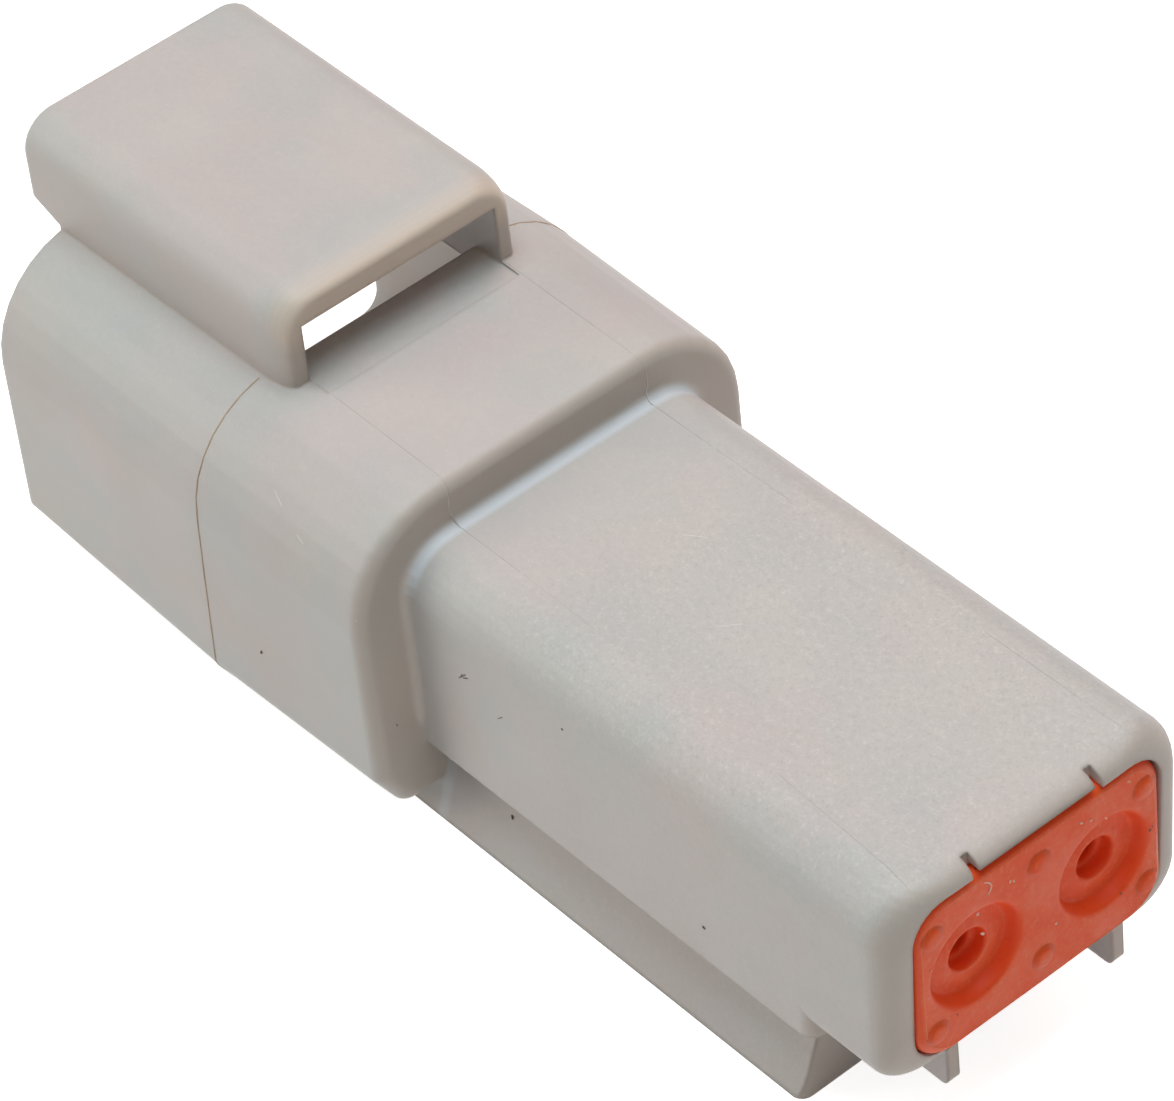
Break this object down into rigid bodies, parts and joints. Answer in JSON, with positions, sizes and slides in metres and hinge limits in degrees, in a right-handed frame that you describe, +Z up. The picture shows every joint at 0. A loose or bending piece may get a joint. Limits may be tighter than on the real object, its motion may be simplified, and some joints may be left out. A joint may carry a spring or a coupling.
{
  "type": "sealed pin connector",
  "caption": "Sealed automotive wire connector, receptacle half: open drafted shroud with a latch hood, slim rear body on a clip rail, orange rear seal with wire holes.",
  "frame": {"origin": "under the middle of the housing, on the plane of the mounting rail's foot", "axes": "+X along the contacts towards the wire end, -X out of the open mating shroud, +Y across the two contacts, +Z up from the mounting rail to the latch hood"},
  "size_m": [0.0472, 0.0182, 0.0183],
  "materials": {
    "housing": "warm light grey moulded thermoplastic, fine spark-eroded texture",
    "seal": "satin orange silicone",
    "wedge": "satin orange moulded plastic",
    "contact": "nickel-plated copper alloy"
  },
  "bodies": {
    "housing": {"housing": "housing", "rear_seal": "seal", "contact_left": "contact", "contact_right": "contact"},
    "wedge_lock": {"wedge_lock": "wedge"}
  },
  "joints": [
    {"name": "wedge_slide", "type": "slide", "parent": "housing", "child": "wedge_lock", "axis": [-1, 0, 0], "range_m": [0, 0.011]}
  ]
}
